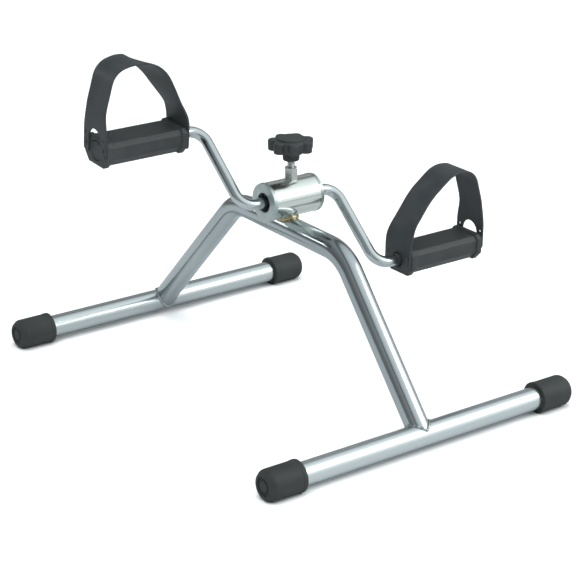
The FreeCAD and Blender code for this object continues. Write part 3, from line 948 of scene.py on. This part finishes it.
# ---- floor, light and camera --------------------------------------------------------------------
def aim(thing, target):
    """Turns a light or camera to look at a point."""
    thing.rotation_mode = "QUATERNION"
    thing.rotation_quaternion = (thing.location - target).to_track_quat("Z", "Y")


def add_floor():
    """Plain pale floor. Rays reflected off the plating see it painted grey: a painted reflection
    that stands in for the grey surroundings of a studio.
    """
    material = new_material("floor_paint", (0.9, 0.9, 0.9), 0.0, 0.9, Specular_IOR_Level=0.1)
    tree = material.node_tree
    cloud = place_texture(tree, "ShaderNodeTexNoise", 3, Detail=2.0)
    vary_colour(material, cloud.outputs["Fac"], (0.9, 0.905, 0.905), (0.92, 0.923, 0.923))
    # Painted reflection: glossy rays see the floor in this grey instead of its own pale colour,
    # which darkens what the plating mirrors.
    mirrored = tree.nodes.new("ShaderNodeBsdfDiffuse")
    mirrored.inputs["Color"].default_value = (0.43, 0.45, 0.46, 1)
    path = tree.nodes.new("ShaderNodeLightPath")
    mix = tree.nodes.new("ShaderNodeMixShader")
    tree.links.new(path.outputs["Is Glossy Ray"], mix.inputs["Fac"])
    tree.links.new(tree.nodes["Principled BSDF"].outputs["BSDF"], mix.inputs[1])
    tree.links.new(mirrored.outputs["BSDF"], mix.inputs[2])
    tree.links.new(mix.outputs["Shader"], tree.nodes["Material Output"].inputs["Surface"])
    mesh = bpy.data.meshes.new("floor")
    half = 12.0
    corners = [(-half, -half, 0), (half, -half, 0), (half, half, 0), (-half, half, 0)]
    mesh.from_pydata(corners, [], [(0, 1, 2, 3)])
    mesh.materials.append(material)
    floor = bpy.data.objects.new("floor", mesh)
    floor.location.z = -0.0002
    bpy.context.scene.collection.objects.link(floor)


def add_softbox(name, place, target, width, height, power, mirrored=True):
    """A rectangular soft light; one that isn't mirrored makes no highlight on the plating."""
    light = bpy.data.lights.new(name, "AREA")
    light.shape = "RECTANGLE"
    light.size, light.size_y = width, height
    light.energy = power
    lamp = bpy.data.objects.new(name, light)
    lamp.location = place
    lamp.visible_glossy = mirrored
    aim(lamp, Vector(target))
    bpy.context.scene.collection.objects.link(lamp)


def add_sun(towards, strength, width):
    """A very wide, soft sun that lights the floor evenly out to its edges."""
    light = bpy.data.lights.new("even_sun", "SUN")
    light.energy = strength
    light.angle = math.radians(width)
    lamp = bpy.data.objects.new("even_sun", light)
    lamp.location = Vector(towards) * 3
    lamp.visible_glossy = False
    aim(lamp, Vector((0, 0, 0)))
    bpy.context.scene.collection.objects.link(lamp)


def add_world():
    """A studio bright in front on the right and dark behind; the camera sees a pale backdrop."""
    world = bpy.data.worlds.new("studio")
    bpy.context.scene.world = world
    world.use_nodes = True
    tree = world.node_tree
    coordinates = tree.nodes.new("ShaderNodeTexCoord")
    towards = tree.nodes.new("ShaderNodeVectorMath")
    towards.operation = "DOT_PRODUCT"
    towards.inputs[1].default_value = Vector((0.5, -0.62, 0.6)).normalized()
    share = tree.nodes.new("ShaderNodeMapRange")
    share.inputs["From Min"].default_value = -1
    ramp = tree.nodes.new("ShaderNodeValToRGB")
    stops = [(0.0, 0.14), (0.3, 0.2), (0.5, 0.3), (0.62, 0.42), (0.68, 0.12), (0.72, 0.16),
             (0.78, 0.7), (1.0, 1.1)]
    for k, (place, grey) in enumerate(stops):
        elements = ramp.color_ramp.elements
        stop = elements[k] if k < 2 else elements.new(place)
        stop.position = place
        stop.color = (grey * 0.93, grey, grey * 1.03, 1)
    path = tree.nodes.new("ShaderNodeLightPath")
    mix = tree.nodes.new("ShaderNodeMix")
    mix.data_type = "RGBA"
    mix.inputs["B"].default_value = (0.95, 0.96, 0.96, 1)
    tree.links.new(coordinates.outputs["Generated"], towards.inputs[0])
    tree.links.new(towards.outputs["Value"], share.inputs["Value"])
    tree.links.new(share.outputs["Result"], ramp.inputs["Fac"])
    tree.links.new(path.outputs["Is Camera Ray"], mix.inputs["Factor"])
    tree.links.new(ramp.outputs["Color"], mix.inputs["A"])
    tree.links.new(mix.outputs["Result"], tree.nodes["Background"].inputs["Color"])


def add_camera():
    """Looks down at the exerciser from its front left, with a slight roll."""
    azimuth, elevation = math.radians(-36.59), math.radians(20.02)
    roll = math.radians(0.17)
    distance = 2.24386
    target = Vector((0, 0, 0.14208))
    back = Vector((math.sin(azimuth) * math.cos(elevation),
                   -math.cos(azimuth) * math.cos(elevation), math.sin(elevation)))
    camera = bpy.data.cameras.new("camera")
    camera.lens = 125.4
    camera.sensor_width = 36
    camera.shift_x = 0.0137
    camera.shift_y = -0.0575
    rig = bpy.data.objects.new("camera", camera)
    rig.location = target + back * distance
    aim(rig, target)
    rig.rotation_quaternion = Quaternion(back, roll) @ rig.rotation_quaternion
    bpy.context.scene.collection.objects.link(rig)
    bpy.context.scene.camera = rig


add_floor()
add_world()
add_sun((-0.35, -0.25, 1.0), 1.5, 50)
add_softbox("left_softbox", (-1.1, -0.9, 1.7), (0, 0, 0.1), 1.3, 1.0, 13, mirrored=False)
add_softbox("top_softbox", (0.2, 0.3, 1.9), (0, 0, 0.1), 1.5, 1.1, 12, mirrored=False)
add_softbox("front_softbox", (1.3, -1.35, 1.25), (0, 0, 0.15), 1.3, 0.9, 12.5)
add_softbox("rear_strip", (-0.9, 1.5, 0.8), (0, 0, 0.15), 1.2, 0.16, 3)
add_camera()
bpy.context.scene.view_settings.view_transform = "Standard"
